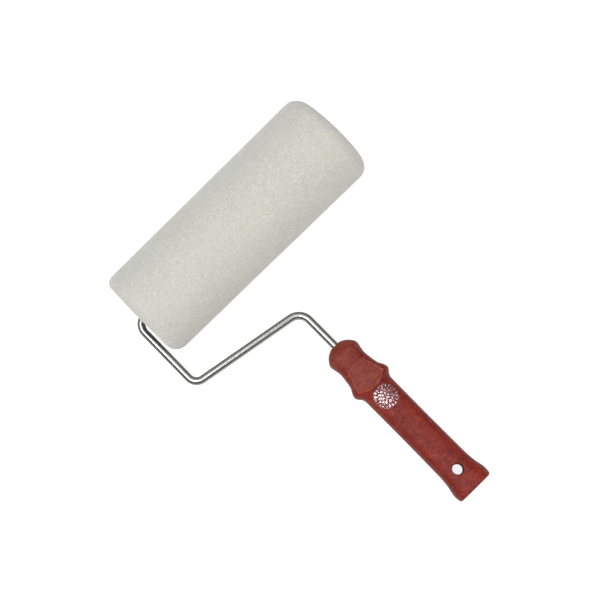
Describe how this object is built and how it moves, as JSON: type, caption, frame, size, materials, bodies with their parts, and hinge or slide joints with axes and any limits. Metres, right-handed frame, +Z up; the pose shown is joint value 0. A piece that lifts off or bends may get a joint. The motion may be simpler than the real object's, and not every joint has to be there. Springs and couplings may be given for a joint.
{
  "type": "paint roller",
  "caption": "Paint roller: a nap sleeve that spins on a bent wire frame, with a moulded grip that has a pole socket and a hang hole.",
  "frame": {"origin": "middle of the tool's footprint, on the surface it lies on", "axes": "+X along the sleeve's axis towards its free end, -Y towards the handle, +Z up from the surface it lies on"},
  "size_m": [0.2076, 0.3001, 0.078],
  "materials": {
    "zinc_wire": "bright zinc plated wire",
    "handle_plastic": "brick red moulded plastic, mottled, low sheen",
    "foil": "hot stamped silver foil",
    "spring_steel": "phosphated spring steel",
    "washer_steel": "zinc plated",
    "nap": "short dense pile, off-white",
    "core_plastic": "extruded tube",
    "cap_plastic": "pale grey moulded plastic",
    "bush_acetal": "natural acetal"
  },
  "bodies": {
    "frame": {"frame_rod": "zinc_wire", "handle_grip": "handle_plastic", "emblem_foil": "foil", "push_nut_inboard": "spring_steel", "push_nut_outboard": "spring_steel", "thrust_washer_inboard": "washer_steel", "thrust_washer_outboard": "washer_steel"},
    "roller": {"nap_cover": "nap", "core_tube": "core_plastic", "end_cap_inboard": "cap_plastic", "end_cap_outboard": "cap_plastic", "bush_inboard": "bush_acetal", "bush_outboard": "bush_acetal", "dust_cap": "cap_plastic"}
  },
  "joints": [
    {"name": "roller_spin", "type": "hinge", "parent": "frame", "child": "roller", "pos_m": [0.00385, 0.11106, 0.039], "axis": [1, 0, 0], "continuous": true}
  ]
}
